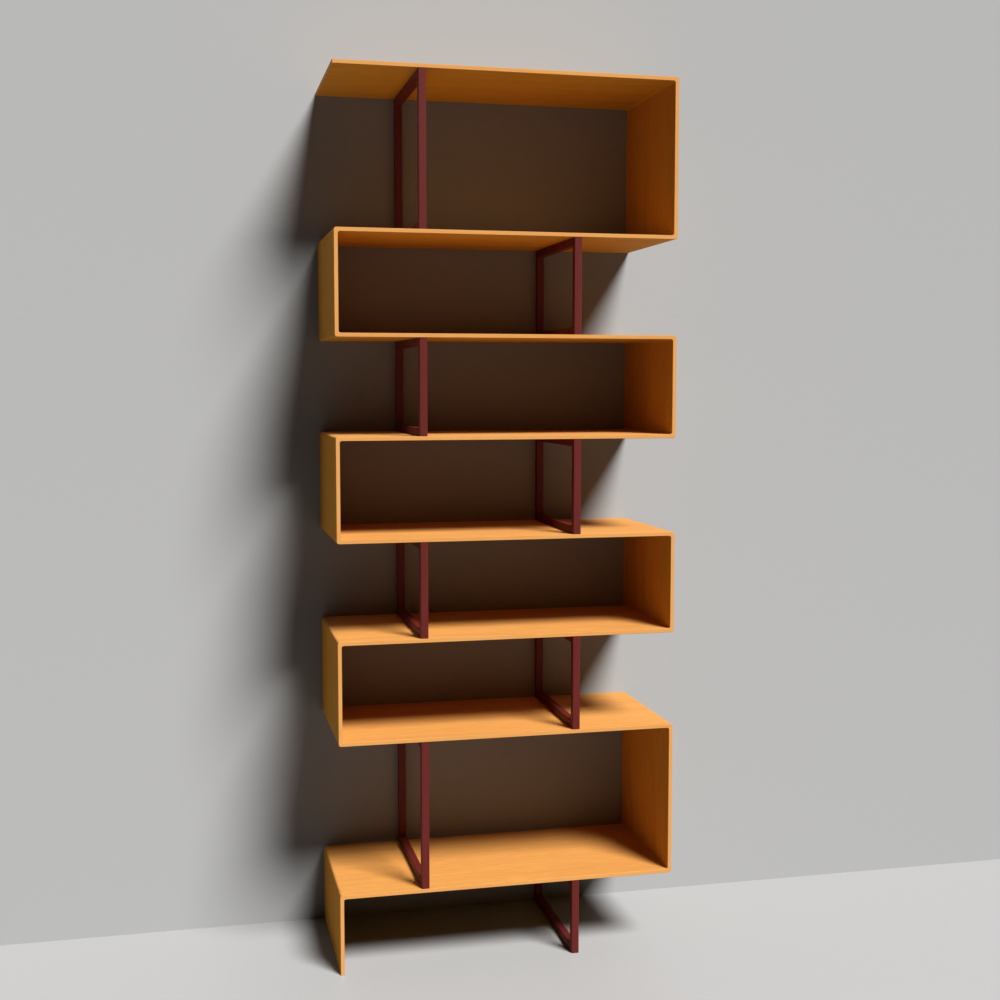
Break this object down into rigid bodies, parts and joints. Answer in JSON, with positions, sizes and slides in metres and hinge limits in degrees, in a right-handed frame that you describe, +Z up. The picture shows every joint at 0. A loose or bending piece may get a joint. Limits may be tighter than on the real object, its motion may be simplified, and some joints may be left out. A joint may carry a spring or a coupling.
{
  "type": "zigzag bookshelf",
  "caption": "Tall open bookshelf: a thin orange ribbon of mitred panels folded to and fro into shelves and sides, propped in every bay by an open burgundy frame of square bars.",
  "frame": {"origin": "middle of the footprint, on the floor", "axes": "+X to the right seen from the front, -Y to the front, +Z up"},
  "size_m": [0.8, 0.358, 2.061],
  "materials": {
    "orange_stained_wood": "satin lacquer over an orange stain",
    "burgundy_stained_wood": "satin lacquer over a burgundy stain",
    "bare_beech": "bare, glued in"
  },
  "bodies": {
    "root": {"shelf_1": "orange_stained_wood", "shelf_2": "orange_stained_wood", "shelf_3": "orange_stained_wood", "shelf_4": "orange_stained_wood", "shelf_5": "orange_stained_wood", "shelf_6": "orange_stained_wood", "shelf_7": "orange_stained_wood", "shelf_8": "orange_stained_wood", "upright_1": "orange_stained_wood", "upright_2": "orange_stained_wood", "upright_3": "orange_stained_wood", "upright_4": "orange_stained_wood", "upright_5": "orange_stained_wood", "upright_6": "orange_stained_wood", "upright_7": "orange_stained_wood", "upright_8": "orange_stained_wood", "frame_1_front_post": "burgundy_stained_wood", "frame_1_rear_post": "burgundy_stained_wood", "frame_1_top_rail": "burgundy_stained_wood", "frame_1_bottom_rail": "burgundy_stained_wood", "frame_2_front_post": "burgundy_stained_wood", "frame_2_rear_post": "burgundy_stained_wood", "frame_2_top_rail": "burgundy_stained_wood", "frame_2_bottom_rail": "burgundy_stained_wood", "frame_3_front_post": "burgundy_stained_wood", "frame_3_rear_post": "burgundy_stained_wood", "frame_3_top_rail": "burgundy_stained_wood", "frame_3_bottom_rail": "burgundy_stained_wood", "frame_4_front_post": "burgundy_stained_wood", "frame_4_rear_post": "burgundy_stained_wood", "frame_4_top_rail": "burgundy_stained_wood", "frame_4_bottom_rail": "burgundy_stained_wood", "frame_5_front_post": "burgundy_stained_wood", "frame_5_rear_post": "burgundy_stained_wood", "frame_5_top_rail": "burgundy_stained_wood", "frame_5_bottom_rail": "burgundy_stained_wood", "frame_6_front_post": "burgundy_stained_wood", "frame_6_rear_post": "burgundy_stained_wood", "frame_6_top_rail": "burgundy_stained_wood", "frame_6_bottom_rail": "burgundy_stained_wood", "frame_7_front_post": "burgundy_stained_wood", "frame_7_rear_post": "burgundy_stained_wood", "frame_7_top_rail": "burgundy_stained_wood", "frame_7_bottom_rail": "burgundy_stained_wood", "frame_8_front_post": "burgundy_stained_wood", "frame_8_rear_post": "burgundy_stained_wood", "frame_8_top_rail": "burgundy_stained_wood", "frame_8_bottom_rail": "burgundy_stained_wood", "fold_splines": "bare_beech", "loose_tenons": "bare_beech"}
  },
  "joints": []
}
